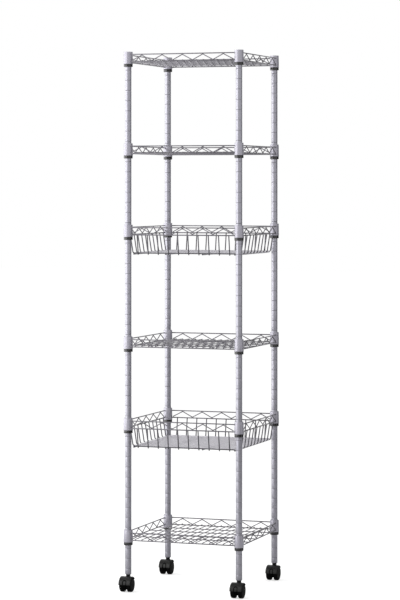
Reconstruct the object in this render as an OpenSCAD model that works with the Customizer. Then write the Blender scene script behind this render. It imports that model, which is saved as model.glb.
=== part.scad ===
// Six-tier wire storage tower on twin-wheel casters, in millimetres.
// X runs to the right along the front, Y to the back, Z up. The origin is on the floor,
// in the middle of the four posts. A tier's own zero is its step line, from which its
// sleeves, collars and wires are measured, and tier 1 is the top one.

/* [Posts] */
// Distance between post centres, the same both ways
post_spacing = 344; // [260:1:460]
// Outside diameter of a post
post_d = 19; // [16:0.5:22]
// Wall of the post tube
post_wall = 1.2; // [0.9:0.1:1.6]
// Distance from one rolled groove to the next
groove_pitch = 30; // [26:1:36]
// Depth of a groove
groove_depth = 0.5; // [0.3:0.05:0.6]
// Width of a groove at its mouth
groove_width = 2; // [1.6:0.1:3]
// Grooves in the lower section of a post, which ends at the next one
lower_grooves = 17; // [12:1:20]
// Grooves in the middle section of a post
middle_grooves = 17; // [12:1:20]

/* [Tiers] */
// Step of the top shelf, counted in groove pitches from the foot of the posts
tier_1_step = 50; // [47:1:54]
// Step of the second shelf
tier_2_step = 41; // [38:1:44]
// Step of the upper basket
tier_3_step = 33; // [30:1:35]
// Step of the middle shelf
tier_4_step = 22; // [19:1:26]
// Step of the lower basket
tier_5_step = 14; // [12:1:16]
// Step of the bottom shelf
tier_6_step = 3; // [2:1:6]

/* [Collars and sleeves] */
// Outside diameter of a corner collar at its lower end
collar_d = 28; // [26:0.5:32]
// Height of a corner collar
collar_h = 36; // [30:1:40]
// Wall of a corner collar
collar_wall = 1.4; // [1:0.1:1.6]
// How much smaller the collar's diameter is at its upper end
collar_taper = 1.6; // [0.8:0.1:2]
// Diameter of the sleeve's lip, the black ring below the collar
lip_d = 26.6; // [25.5:0.1:28]
// Height of the sleeve's lip
lip_h = 8.4; // [6:0.2:12]
// Height of the sleeve above its lip
sleeve_h = 30; // [24:1:34]
// Height of the sleeve's inner rib above the step line
rib_rise = 16; // [12:0.5:20]
// Gap between the two halves of a sleeve
sleeve_split = 1; // [0.6:0.1:2]

/* [Wires] */
// Diameter of the top wire of an edge truss
top_wire_d = 3.3; // [2.5:0.1:4]
// Diameter of the bottom wire of an edge truss
rail_wire_d = 3.5; // [2.5:0.1:4]
// Diameter of the zigzag wire
zigzag_wire_d = 2.8; // [2:0.1:3.4]
// Height of an edge truss between its top and bottom wires' centres
truss_h = 21.5; // [19:0.5:23]
// Height of the bottom wire's centre above the step line
rail_rise = 10.5; // [9:0.5:11]
// How far the edge trusses lie outside the line of post centres
truss_offset = 8; // [6:0.5:9]
// Peaks of the zigzag on each side
zigzag_peaks = 5; // [4:1:6]
// Diameter of a deck wire, which runs from front to back
deck_wire_d = 2.6; // [2:0.1:3.2]
// Diameter of a cross wire, which runs from left to right under the deck wires
cross_wire_d = 3.2; // [2.6:0.1:4]
// Number of cross wires under a deck
cross_wires = 4; // [1:1:5]
// Depth to which the crossing wires of a deck or a basket sink into each other
weld_bite = 0.3; // [0.2:0.05:0.5]

/* [Baskets] */
// Depth of a basket, from the bottom wire of its rim to its floor
basket_depth = 57; // [45:1:90]
// How far a basket's walls lean in over that depth
basket_lean = 9; // [4:0.5:12]
// Diameter of a basket wire
basket_wire_d = 3.4; // [2.4:0.1:4]
// Number of cross wires under a basket's floor, between the wires along its edges
floor_cross_wires = 2; // [1:1:4]

/* [Post joints] */
// Diameter of a joining stud and of a caster's shank
stud_d = 8; // [6:0.5:10]
// Length of a threaded insert in a post's end
insert_h = 16; // [12:1:24]
// Thickness of the rim of a post cap
cap_rim_h = 2; // [1:0.5:3]
// Length of the plug of a post cap
cap_plug_h = 12; // [8:1:20]

/* [Casters] */
// Diameter of a wheel
wheel_d = 43; // [38:1:50]
// Width of a wheel
wheel_w = 13.2; // [10:0.1:15]
// Distance of the wheels' axle in front of the swivel axis
caster_trail = 11; // [10:0.5:16]
// Thickness of the hood's middle web
web_w = 9.5; // [9:0.5:11]
// Gap beside and around a wheel
wheel_gap = 0.7; // [0.5:0.1:1.2]
// Thickness of the hood's curved cover
hood_wall = 1.8; // [1.4:0.1:2.5]
// Height of the hood's lower edge in front, above the floor
hood_edge = 23; // [14:1:26]
// Height of the web's foot above the floor
web_foot = 10.5; // [6:0.5:12]
// Depth of the arched panel sunk into the hood
panel_depth = 0.7; // [0.3:0.1:0.9]
// Width of the arched panel
panel_w = 13; // [10:1:24]
// Height of the panel's top above the axle
panel_top = 16; // [12:1:18]
// Diameter of the axle
axle_d = 6; // [5:0.5:8]
// Diameter of the swivel pin
pivot_d = 7; // [6:0.1:7.2]
// Length of the swivel pin in the hood
pivot_h = 20; // [14:1:24]
// Diameter of the stem's neck
neck_d = 14; // [12:0.5:17]
// Height of the stem's neck, from the hood to the post
neck_h = 5.5; // [5:0.5:12]

/* [Fits] */
// Radial gap of pieces that are pressed, screwed or welded together
press_gap = 0.02; // [0.01:0.01:0.05]
// Radial gap of pieces that turn or slide on each other
running_gap = 0.05; // [0.03:0.01:0.1]
// Gap between faces that pass each other
face_gap = 0.3; // [0.2:0.05:0.5]

/* [Hidden] */
$fn = 48;

steel = [0.62, 0.61, 0.65];
wire = [0.55, 0.54, 0.58];
zinc = [0.72, 0.72, 0.7];
black = [0.09, 0.09, 0.1];
tyre = [0.15, 0.15, 0.16];

half = post_spacing / 2;
post_r = post_d / 2;
bore_r = post_r - post_wall;
stud_r = stud_d / 2;

// Heights from the floor up: axle, hood, neck, post
axle_z = wheel_d / 2;
hood_in_r = wheel_d / 2 + wheel_gap;
hood_r = hood_in_r + hood_wall;
hood_top = axle_z + hood_r;
post_foot = hood_top + neck_h;
wheel_x = web_w / 2 + wheel_gap;
hood_half_w = wheel_x + wheel_w;

tier_steps = [tier_1_step, tier_2_step, tier_3_step, tier_4_step, tier_5_step, tier_6_step];
collar_rise = lip_h / 2;
collar_top = collar_rise + collar_h;
post_h = tier_1_step * groove_pitch + collar_top - cap_rim_h;
lower_seam = rib_rise + lower_grooves * groove_pitch;
middle_seam = lower_seam + middle_grooves * groove_pitch;
section_ends = [0, lower_seam, middle_seam, post_h];

collar_low_r = collar_d / 2;
collar_high_r = (collar_d - collar_taper) / 2;

// Edge truss: levels of its wires
top_r = top_wire_d / 2;
rail_r = rail_wire_d / 2;
zigzag_r = zigzag_wire_d / 2;
truss_y = half + truss_offset;
top_z = rail_rise + truss_h;
peak_z = top_z - top_r - zigzag_r - press_gap;
valley_z = rail_rise + rail_r + zigzag_r + press_gap;
peak_pitch = (post_spacing - collar_d) / zigzag_peaks;

// Deck: three wires to each peak of the zigzag
deck_r = deck_wire_d / 2;
deck_z = rail_rise + rail_r + deck_r + press_gap;
cross_r = cross_wire_d / 2;
cross_z = deck_z - deck_r - cross_r + weld_bite;

// Basket: two wires to each peak. Those of the left wall run down, across the floor and up the
// right wall, and those of the front and back end just below the wire along the floor's edge.
basket_r = basket_wire_d / 2;
lean_angle = atan2(basket_lean, basket_depth);
hang_y = truss_y - rail_r - basket_r + weld_bite;
low_drop = basket_depth;
high_drop = basket_depth - basket_wire_d + weld_bite;

// Places along one side, evenly spread about its middle
function spread(count, pitch) = [for (i = [0 : count - 1]) (i - (count - 1) / 2) * pitch];
// How far from the middle a hanging wire meets the floor wire
function foot_y(drop) = hang_y - drop * tan(lean_angle);
// How far from the middle the floor's front and back edge wires lie, against the hanging wires
edge_y = foot_y(high_drop) - (basket_wire_d + press_gap) / cos(lean_angle);
// The same for its left and right edge wires, which rise past the sleeves' lips
edge_x = half - lip_d / 2 - basket_r - face_gap;

module at_post(x_side, y_side) translate([x_side * half, y_side * half, 0]) children();
module at_posts() for (x_side = [-1, 1], y_side = [-1, 1]) at_post(x_side, y_side) children();
module at_tier(tier) translate([0, 0, post_foot + tier_steps[tier - 1] * groove_pitch]) children();
module on_sides(turns) for (a = turns) rotate([0, 0, a]) children();

// A straight round wire from one point to another
module wire_from(p, q, d) {
    run = q - p;
    translate(p) rotate([0, acos(run[2] / norm(run)), atan2(run[1], run[0])]) cylinder(h = norm(run), d = d);
}

// ---- Posts -------------------------------------------------------------------

function groove_at(z) = [
    [post_r, z - groove_width / 2], [post_r - groove_depth, z - groove_width / 4],
    [post_r - groove_depth, z + groove_width / 4], [post_r, z + groove_width / 2]];

// Half a groove at each seam, so that a seam looks like any other groove
function low_end(z, seam) = seam
    ? [[post_r - groove_depth, z], [post_r - groove_depth, z + groove_width / 4], [post_r, z + groove_width / 2]]
    : [[post_r, z]];
function high_end(z, seam) = seam
    ? [[post_r, z - groove_width / 2], [post_r - groove_depth, z - groove_width / 4], [post_r - groove_depth, z]]
    : [[post_r, z]];

module post_section(part) {
    low = section_ends[part];
    high = section_ends[part + 1];
    grooves = [for (z = [rib_rise : groove_pitch : post_h])
        if (z > low + groove_width && z < high - groove_width) z];
    outline = concat([[bore_r, low]], low_end(low, part > 0), [for (z = grooves) each groove_at(z)],
        high_end(high, part < 2), [[bore_r, high]]);
    color(steel) translate([0, 0, post_foot]) rotate_extrude() polygon(outline);
}

module insert(low)
    translate([0, 0, post_foot + low]) difference() {
        cylinder(h = insert_h, r = bore_r - press_gap);
        translate([0, 0, -1]) cylinder(h = insert_h + 2, r = stud_r + press_gap);
    }

module threaded_inserts() color(zinc) at_posts() {
    insert(0);
    for (seam = [lower_seam, middle_seam]) {
        insert(seam - insert_h);
        insert(seam);
    }
}

module joining_studs() color(zinc) at_posts()
    for (seam = [lower_seam, middle_seam])
        translate([0, 0, post_foot + seam - insert_h]) cylinder(h = 2 * insert_h, r = stud_r);

module post_caps() color(steel) at_posts() translate([0, 0, post_foot + post_h]) {
    cylinder(h = cap_rim_h, r = post_r);
    translate([0, 0, -cap_plug_h]) cylinder(h = cap_plug_h, r = bore_r - press_gap);
}

// ---- Sleeves and collars -----------------------------------------------------

// The sleeve's cone follows the collar's bore, one running gap inside it
function collar_bore_r(z) = collar_low_r - collar_wall
    - (collar_low_r - collar_high_r) * (z - collar_rise) / collar_h;

module sleeve() difference() {
    lip_low = collar_rise - face_gap - lip_h;
    lip_high = collar_rise - face_gap;
    cone_top = lip_high + sleeve_h;
    rotate_extrude() polygon([
        [post_r + running_gap, lip_low], [lip_d / 2, lip_low], [lip_d / 2, lip_high],
        [collar_bore_r(lip_high) - running_gap, lip_high],
        [collar_bore_r(cone_top) - running_gap, cone_top], [post_r + running_gap, cone_top],
        [post_r + running_gap, rib_rise + groove_width / 2 - running_gap],
        [post_r - groove_depth + running_gap, rib_rise + groove_width / 4 - running_gap],
        [post_r - groove_depth + running_gap, rib_rise - groove_width / 4 + running_gap],
        [post_r + running_gap, rib_rise - groove_width / 2 + running_gap]]);
    translate([-collar_d, -sleeve_split / 2, lip_low - 1])
        cube([2 * collar_d, sleeve_split, sleeve_h + lip_h + 2]);
}

module sleeves() color(black) at_posts() sleeve();

module collar() translate([0, 0, collar_rise]) difference() {
    cylinder(h = collar_h, r1 = collar_low_r, r2 = collar_high_r);
    rotate_extrude() polygon([[0, -1], [collar_bore_r(collar_rise - 1), -1],
        [collar_bore_r(collar_top + 1), collar_h + 1], [0, collar_h + 1]]);
}

module collars() color(steel) at_posts() collar();

// What the collars take out of the ends of the wires that are welded to them
module collar_cope() for (x_side = [-1, 1]) translate([x_side * half, -half, collar_rise])
    cylinder(h = collar_h, r1 = collar_low_r + press_gap, r2 = collar_high_r + press_gap);

// ---- Edge trusses ------------------------------------------------------------

// One V of the zigzag, drawn about its peak. Its halves mirror each other, so that their mitres
// meet exactly, and its lower ends are cut upright, where the next V begins.
module vee() {
    run = peak_pitch / 2;
    rise = peak_z - valley_z;
    for (side = [0, 1]) mirror([side, 0, 0]) intersection() {
        rotate([0, atan2(run, -rise), 0]) translate([0, 0, -2 * zigzag_wire_d])
            cylinder(h = norm([run, rise]) + 4 * zigzag_wire_d, d = zigzag_wire_d);
        translate([0, -zigzag_wire_d, -rise - zigzag_wire_d])
            cube([run - press_gap, 2 * zigzag_wire_d, rise + 2 * zigzag_wire_d]);
    }
}

module zigzag() for (x = spread(zigzag_peaks, peak_pitch)) translate([x, -truss_y, peak_z]) vee();

module edge_wire(z, d) wire_from([-half, -truss_y, z], [half, -truss_y, z], d);

// One side's truss, drawn for the front
module truss() {
    difference() {
        edge_wire(top_z, top_wire_d);
        collar_cope();
    }
    zigzag();
    difference() {
        edge_wire(rail_rise, rail_wire_d);
        collar_cope();
    }
}

module trusses() color(wire) on_sides([0, 90, 180, 270]) truss();

// ---- Decks -------------------------------------------------------------------

module deck() color(wire) {
    reach = truss_y + rail_r;
    cross_reach = truss_y - rail_r - press_gap;
    for (x = spread(3 * zigzag_peaks, peak_pitch / 3))
        wire_from([x, -reach, deck_z], [x, reach, deck_z], deck_wire_d);
    for (y = spread(cross_wires, post_spacing / (cross_wires + 1)))
        wire_from([-cross_reach, y, cross_z], [cross_reach, y, cross_z], cross_wire_d);
}

// ---- Baskets -----------------------------------------------------------------

// The space on one side of the mitre where a left or right wall's wire and its floor wire meet
module mitre_side(from, size) rotate([45 + lean_angle / 2, 0, 0])
    translate([-basket_wire_d, -2 * basket_wire_d, from]) cube([2 * basket_wire_d, size, size]);

// One wire of a basket wall, drawn for the front: from the rail down, and past the floor by extra
module leaning_wire(drop, extra) translate([0, -foot_y(drop), rail_rise - drop])
    rotate([lean_angle, 0, 0]) translate([0, 0, -extra])
        cylinder(h = drop / cos(lean_angle) + extra, d = basket_wire_d);

// The same wire, mitred where it bends into the floor
module bent_wire(drop) intersection() {
    leaning_wire(drop, 2 * basket_wire_d);
    translate([0, -foot_y(drop), rail_rise - drop]) mitre_side(0, 2 * drop);
}

module walls() color(wire) {
    trusses();
    for (x = spread(2 * zigzag_peaks, peak_pitch / 2)) {
        on_sides([0, 180]) translate([x, 0, 0]) leaning_wire(low_drop, basket_r);
        on_sides([90, 270]) translate([x, 0, 0]) bent_wire(high_drop);
    }
}

// One floor wire, from the left wall's wire to the right wall's
module floor_wire(drop) translate([0, 0, rail_rise - drop]) difference() {
    reach = foot_y(drop) + 2 * basket_wire_d;
    wire_from([-reach, 0, 0], [reach, 0, 0], basket_wire_d);
    for (turn = [90, 270]) rotate([0, 0, turn])
        translate([0, -foot_y(drop), 0]) mitre_side(-press_gap, 8 * basket_wire_d);
}

// The floor: wires from left to right, of which the outer two are its front and back edge, on
// wires from front to back, of which the outer two are its left and right edge
module basket_floor() color(wire) {
    reach_x = edge_x + basket_r;
    reach_y = edge_y + basket_r;
    high = rail_rise - high_drop;
    low = rail_rise - low_drop;
    for (y = spread(2 * zigzag_peaks, peak_pitch / 2)) translate([0, y, 0]) floor_wire(high_drop);
    for (y = [-edge_y, edge_y]) wire_from([-reach_x, y, high], [reach_x, y, high], basket_wire_d);
    for (x = concat([-edge_x, edge_x], spread(floor_cross_wires, post_spacing / (floor_cross_wires + 1))))
        wire_from([x, -reach_y, low], [x, reach_y, low], basket_wire_d);
}

// ---- Casters, drawn about their swivel axis ------------------------------------

module stem() {
    translate([0, 0, post_foot]) cylinder(h = insert_h, r = stud_r);
    translate([0, 0, hood_top + face_gap]) cylinder(h = neck_h - face_gap, d = neck_d);
    translate([0, 0, hood_top - pivot_h]) cylinder(h = pivot_h + face_gap, d = pivot_d);
}

module caster_stems() color(black) at_posts() stem();

// Something drawn along the axle, which lies along X
module on_axle() translate([0, -caster_trail, axle_z]) rotate([0, 90, 0]) children();

module arch_panel() intersection() {
    on_axle() difference() {
        cylinder(h = 2 * hood_half_w, r = hood_r + 1, center = true);
        cylinder(h = 3 * hood_half_w, r = hood_r - panel_depth, center = true);
    }
    translate([0, -caster_trail, axle_z]) rotate([90, 0, 0]) linear_extrude(2 * hood_r) {
        translate([-panel_w / 2, -hood_r]) square([panel_w, hood_r + panel_top - panel_w / 2]);
        translate([0, panel_top - panel_w / 2]) circle(d = panel_w);
    }
}

module hood() color(black) difference() {
    union() {
        // Cover over the wheels, open behind and below
        intersection() {
            on_axle() cylinder(h = 2 * hood_half_w, r = hood_r, center = true);
            translate([-hood_half_w, -caster_trail - hood_r, hood_edge])
                cube([2 * hood_half_w, 2 * hood_r, 2 * hood_r]);
        }
        // Web between the wheels
        intersection() {
            on_axle() cylinder(h = web_w, r = hood_r, center = true);
            translate([-web_w / 2, -caster_trail - hood_r, web_foot]) cube([web_w, 2 * hood_r, 2 * hood_r]);
        }
        // Boss round the swivel pin
        translate([0, 0, axle_z]) cylinder(h = hood_r, d = neck_d);
    }
    for (side = [-1, 1]) translate([side * (hood_half_w + web_w / 2), 0, 0]) {
        on_axle() cylinder(h = 2 * hood_half_w, r = hood_in_r, center = true);
        // Behind the stem the cover is cut away down to the web
        translate([-hood_half_w, pivot_d, -1]) cube([2 * hood_half_w, 2 * hood_r, 2 * hood_r + axle_z]);
    }
    arch_panel();
    on_axle() cylinder(h = 2 * web_w, d = axle_d + 2 * press_gap, center = true);
    translate([0, 0, hood_top - pivot_h - face_gap]) cylinder(h = pivot_h + 1 + face_gap, d = pivot_d + 2 * running_gap);
}

module axle() color(zinc) on_axle() cylinder(h = 2 * (wheel_x + 0.7 * wheel_w), d = axle_d, center = true);

// One wheel, to the right for side 1 and to the left for side -1
module wheel(side) color(tyre) translate([0, -caster_trail, axle_z]) mirror([side < 0 ? 1 : 0, 0, 0])
    translate([wheel_x, 0, 0]) rotate([0, 90, 0]) rotate_extrude() {
        rim_r = wheel_d / 2;
        round_r = wheel_w / 8;
        bore_h = 0.7 * wheel_w + face_gap;
        difference() {
            union() {
                square([rim_r - round_r, wheel_w - round_r]);
                translate([0, round_r]) square([rim_r, wheel_w - 3 * round_r]);
                translate([rim_r - round_r, round_r]) circle(r = round_r);
                translate([rim_r - 2 * round_r, wheel_w - 2 * round_r]) circle(r = 2 * round_r);
                square([rim_r - 2 * round_r, wheel_w]);
            }
            square([axle_d / 2 + running_gap, bore_h]);
        }
    }

at_post(-1, -1) post_section(0);  // post_front_left_lower
at_post(-1, -1) post_section(1);  // post_front_left_middle
at_post(-1, -1) post_section(2);  // post_front_left_upper
at_post(1, -1) post_section(0);  // post_front_right_lower
at_post(1, -1) post_section(1);  // post_front_right_middle
at_post(1, -1) post_section(2);  // post_front_right_upper
at_post(-1, 1) post_section(0);  // post_back_left_lower
at_post(-1, 1) post_section(1);  // post_back_left_middle
at_post(-1, 1) post_section(2);  // post_back_left_upper
at_post(1, 1) post_section(0);  // post_back_right_lower
at_post(1, 1) post_section(1);  // post_back_right_middle
at_post(1, 1) post_section(2);  // post_back_right_upper
threaded_inserts();
joining_studs();
post_caps();
caster_stems();
at_tier(1) sleeves();  // shelf_1_sleeves
at_tier(2) sleeves();  // shelf_2_sleeves
at_tier(3) sleeves();  // basket_3_sleeves
at_tier(4) sleeves();  // shelf_4_sleeves
at_tier(5) sleeves();  // basket_5_sleeves
at_tier(6) sleeves();  // shelf_6_sleeves
at_tier(1) collars();  // shelf_1_collars
at_tier(1) trusses();  // shelf_1_trusses
at_tier(1) deck();  // shelf_1_deck
at_tier(2) collars();  // shelf_2_collars
at_tier(2) trusses();  // shelf_2_trusses
at_tier(2) deck();  // shelf_2_deck
at_tier(3) collars();  // basket_3_collars
at_tier(3) walls();  // basket_3_walls
at_tier(3) basket_floor();  // basket_3_floor
at_tier(4) collars();  // shelf_4_collars
at_tier(4) trusses();  // shelf_4_trusses
at_tier(4) deck();  // shelf_4_deck
at_tier(5) collars();  // basket_5_collars
at_tier(5) walls();  // basket_5_walls
at_tier(5) basket_floor();  // basket_5_floor
at_tier(6) collars();  // shelf_6_collars
at_tier(6) trusses();  // shelf_6_trusses
at_tier(6) deck();  // shelf_6_deck
at_post(-1, -1) hood();  // hood_front_left
at_post(-1, -1) axle();  // axle_front_left
at_post(-1, -1) wheel(-1);  // wheel_front_left_l
at_post(-1, -1) wheel(1);  // wheel_front_left_r
at_post(1, -1) hood();  // hood_front_right
at_post(1, -1) axle();  // axle_front_right
at_post(1, -1) wheel(-1);  // wheel_front_right_l
at_post(1, -1) wheel(1);  // wheel_front_right_r
at_post(-1, 1) hood();  // hood_back_left
at_post(-1, 1) axle();  // axle_back_left
at_post(-1, 1) wheel(-1);  // wheel_back_left_l
at_post(-1, 1) wheel(1);  // wheel_back_left_r
at_post(1, 1) hood();  // hood_back_right
at_post(1, 1) axle();  // axle_back_right
at_post(1, 1) wheel(-1);  // wheel_back_right_l
at_post(1, 1) wheel(1);  // wheel_back_right_r
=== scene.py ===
import math

import bpy
import numpy as np
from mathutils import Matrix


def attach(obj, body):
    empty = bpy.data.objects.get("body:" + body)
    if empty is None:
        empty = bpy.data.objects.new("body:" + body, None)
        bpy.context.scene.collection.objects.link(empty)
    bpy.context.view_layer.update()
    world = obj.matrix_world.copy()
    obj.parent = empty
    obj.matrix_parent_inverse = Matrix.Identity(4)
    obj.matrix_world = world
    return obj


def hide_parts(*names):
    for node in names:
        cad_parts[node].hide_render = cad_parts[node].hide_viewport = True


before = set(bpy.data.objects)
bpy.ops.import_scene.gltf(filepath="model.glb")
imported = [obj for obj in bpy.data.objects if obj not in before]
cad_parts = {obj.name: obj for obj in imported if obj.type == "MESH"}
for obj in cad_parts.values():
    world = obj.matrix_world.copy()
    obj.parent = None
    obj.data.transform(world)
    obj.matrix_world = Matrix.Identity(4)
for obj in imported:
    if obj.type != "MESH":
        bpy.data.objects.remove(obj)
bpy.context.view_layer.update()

# Lengths are in millimetres, as on a maker's drawing, and become metres when a piece's mesh is made.
# Four corners share every fitting; the front is at -Y.
rack = {
    "half": 172.0,  # post centres from the middle
    "cornerSides": {
        "front_left": (-1, -1), "front_right": (1, -1), "back_left": (-1, 1), "back_right": (1, 1)},
    "postFoot": 51.0,  # above the floor
    "groovePitch": 30.0,
    # Each tier's height above the post's foot, in groove pitches
    "tiers": {"shelf_1": 50, "shelf_2": 41, "basket_3": 33, "shelf_4": 22, "basket_5": 14, "shelf_6": 3},
}
corners = {name: (x * rack["half"], y * rack["half"]) for name, (x, y) in rack["cornerSides"].items()}
tierHeight = {name: rack["postFoot"] + step * rack["groovePitch"] for name, step in rack["tiers"].items()}

camera = {
    "place": (2.3784, -6.8763, 1.2),  # metres
    "turn": 19.136,  # degrees to the right of the front
    "lens": 145.8, "sensorWidth": 36.0,
    "shiftY": -0.1926,
    "clipEnd": 60.0,  # metres
}
lensData = bpy.data.cameras.new("photoLens")
lensData.lens = camera["lens"]
lensData.sensor_width = camera["sensorWidth"]
lensData.shift_y = camera["shiftY"]
lensData.clip_end = camera["clipEnd"]
viewer = bpy.data.objects.new("photoCamera", lensData)
viewer.location = camera["place"]
viewer.rotation_euler = (math.radians(90), 0, math.radians(camera["turn"]))
bpy.context.scene.collection.objects.link(viewer)
bpy.context.scene.camera = viewer
bpy.context.scene.view_settings.view_transform = "Standard"
print("camera placed")


def gridQuads(rows, columns, loopRows=False, loopColumns=False):
    # Corner (i, j) is number i * columns + j, and each quad joins it to (i, j+1), (i+1, j+1) and (i+1, j)
    rowCount, columnCount = rows - (not loopRows), columns - (not loopColumns)
    i, j = np.meshgrid(np.arange(rowCount), np.arange(columnCount), indexing="ij")
    here, below = i * columns, (i + 1) % rows * columns
    right = (j + 1) % columns
    return np.stack([here + j, here + right, below + right, below + j], -1).reshape(-1, 4)


def shell(points, loopRows=False, loopColumns=False, closeEnds=False, accent=None):
    # A grid of points, rows by columns, as one surface; its first and last rows can be closed by a flat face
    # each. accent marks the quads that take the piece's second finish.
    rows, columns = points.shape[:2]
    ends = []
    if closeEnds:
        ends = [list(range(columns))[::-1], list(range((rows - 1) * columns, rows * columns))]
    quads = gridQuads(rows, columns, loopRows, loopColumns)
    marked = np.zeros(len(quads), bool) if accent is None else np.asarray(accent).ravel()
    return {"points": points.reshape(-1, 3), "quads": quads, "ends": ends, "accent": marked}


def joined(parts):
    # All the parts as one, each part's corner numbers raised by the corners before it
    starts = np.cumsum([0] + [len(p["points"]) for p in parts])
    return {
        "points": np.concatenate([p["points"] for p in parts]),
        "quads": np.concatenate([p["quads"] + s for p, s in zip(parts, starts)]),
        "ends": [[int(k + s) for k in end] for p, s in zip(parts, starts) for end in p["ends"]],
        "accent": np.concatenate([p["accent"] for p in parts]),
    }


def moved(part, shift):
    # Each corner plus the shift
    return {**part, "points": part["points"] + np.array(shift, float)}


def turned(part, degrees):
    # Turned about Z: x' = x cos a - y sin a, y' = x sin a + y cos a
    a = math.radians(degrees)
    turn = np.array([[math.cos(a), math.sin(a), 0], [-math.sin(a), math.cos(a), 0], [0, 0, 1]])
    return {**part, "points": part["points"] @ turn}


def atCorners(part):
    # The part once at each post
    return joined([moved(part, (x, y, 0)) for x, y in corners.values()])


def onFourSides(part):
    # The front's part and its three quarter turns
    return joined([turned(part, a) for a in (0, 90, 180, 270)])


def roundCorners(outline, radius, steps=6, loop=True):
    # Each corner becomes an arc that touches both its sides. With h half the angle between the sides, the
    # arc's centre lies radius / sin h from the corner on the bisector, and it turns through 180 degrees less
    # 2h. The tiny limits keep that defined where the two sides are nearly in line. A path that isn't a loop
    # keeps its two end points.
    outline = np.array(outline, float)
    radius = np.broadcast_to(np.array(radius, float), len(outline))
    before, after = np.roll(outline, 1, 0) - outline, np.roll(outline, -1, 0) - outline
    u = before / np.linalg.norm(before, axis=1, keepdims=True)
    v = after / np.linalg.norm(after, axis=1, keepdims=True)
    half = np.arccos(np.clip((u * v).sum(1), -1, 0.999999)) / 2
    middle = (u + v) / np.maximum(np.linalg.norm(u + v, axis=1, keepdims=True), 1e-9)
    centre = outline + middle * (radius / np.sin(half))[:, None]
    reach = (radius / np.tan(half))[:, None]
    first, last = outline + u * reach - centre, outline + v * reach - centre
    sweep = np.maximum(np.pi - 2 * half, 1e-4)[:, None, None]
    s = np.linspace(0, 1, steps)[None, :, None]
    arc = (np.sin((1 - s) * sweep) * first[:, None] + np.sin(s * sweep) * last[:, None]) / np.sin(sweep)
    arcs = centre[:, None] + arc
    if loop:
        return arcs.reshape(-1, outline.shape[1])
    return np.concatenate([outline[:1], arcs[1:-1].reshape(-1, outline.shape[1]), outline[-1:]])


def lathe(profile, sides, accentRows=None):
    # A closed profile of (radius, height) turned about Z: x = r cos a, y = r sin a, z = height
    profile = np.array(profile, float)
    accent = None if accentRows is None else np.repeat(accentRows, sides)
    a = np.arange(sides) * 2 * np.pi / sides
    points = np.stack([
        profile[:, :1] * np.cos(a), profile[:, :1] * np.sin(a), np.repeat(profile[:, 1:], sides, 1)], -1)
    return shell(points, loopRows=True, loopColumns=True, accent=accent)


shearedEnd = {"inFromEnd": (0, 0.1, 0.33), "size": (0.7, 0.9, 1.0)}  # of a wire, in its radii


def wire(path, diameter, across, sides=18):
    # A circle carried along a flat path: p + r (cos a * n + sin a * across), with n square to the path and
    # to across, which is the flat's own normal. Both ends are eased, as shears leave them.
    path, across = np.array(path, float), np.array(across, float)
    r = diameter / 2
    headWay = (path[1] - path[0]) / np.linalg.norm(path[1] - path[0])
    tailWay = (path[-1] - path[-2]) / np.linalg.norm(path[-1] - path[-2])
    ease = np.array(shearedEnd["inFromEnd"]) * r
    centre = np.concatenate([
        path[0] + ease[:, None] * headWay, path[1:-1], path[-1] - ease[::-1, None] * tailWay])
    size = r * np.concatenate([shearedEnd["size"], np.ones(len(path) - 2), shearedEnd["size"][::-1]])
    way = np.gradient(centre, axis=0)
    eased = len(ease)
    way[:eased], way[-eased:] = headWay, tailWay
    way /= np.linalg.norm(way, axis=1, keepdims=True)
    n = np.cross(across, way)
    a = (np.arange(sides) * 2 * np.pi / sides)[None, :, None]
    points = centre[:, None] + size[:, None, None] * (np.cos(a) * n[:, None] + np.sin(a) * across)
    return shell(points, loopColumns=True, closeEnds=True)


weld = {
    "reach": 1.35,  # radians from a bead's waist towards its poles
    "sides": 8,
    # Half sizes of the beads along X, Y and Z
    "zigzag": (2.6, 1.25, 0.7), "deck": (1.15, 1.7, 0.55), "basketFloor": (1.7, 1.7, 0.6),
    "basketFoot": (1.7, 0.6, 1.7), "basketRail": (1.1, 0.6, 1.6),
}


def beads(centres, site, rows=5):
    # A weld's bead is an ellipsoid: c + (A cos t cos a, B cos t sin a, C sin t), with t short of the poles
    t = np.linspace(-weld["reach"], weld["reach"], rows)[:, None]
    a = (np.arange(weld["sides"]) * 2 * np.pi / weld["sides"])[None]
    ball = np.stack([np.cos(t) * np.cos(a), np.cos(t) * np.sin(a), np.sin(t) + 0 * a], -1)
    one = shell(ball * np.array(weld[site], float), loopColumns=True, closeEnds=True)
    return joined([moved(one, c) for c in centres])


sharpFrom = 40  # degrees between two faces from which their edge is left sharp


def makePiece(name, part, material, body, nodes=(), second=None):
    # The part becomes a mesh in metres, smooth but for its sharp edges, riding on its body; second is the
    # finish of its marked faces
    mesh = bpy.data.meshes.new(name)
    mesh.from_pydata((part["points"] / 1000).tolist(), [], part["quads"].tolist() + part["ends"])
    if second:
        marks = np.concatenate([part["accent"], np.zeros(len(part["ends"]), bool)])
        mesh.polygons.foreach_set("material_index", marks.astype(np.int32))
    mesh.validate()
    mesh.polygons.foreach_set("use_smooth", np.ones(len(mesh.polygons), bool))
    mesh.set_sharp_from_angle(angle=math.radians(sharpFrom))
    mesh.materials.append(material)
    if second:
        mesh.materials.append(second)
    piece = bpy.data.objects.new(name, mesh)
    bpy.context.scene.collection.objects.link(piece)
    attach(piece, body)
    if nodes:
        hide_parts(*nodes)


def linear(hexColour):
    # sRGB to linear: c / 12.92 below 0.04045, otherwise ((c + 0.055) / 1.055) to the power 2.4
    c = np.array([int(hexColour[k:k + 2], 16) / 255 for k in (0, 2, 4)])
    return (*np.where(c <= 0.04045, c / 12.92, ((c + 0.055) / 1.055) ** 2.4), 1.0)


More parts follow.
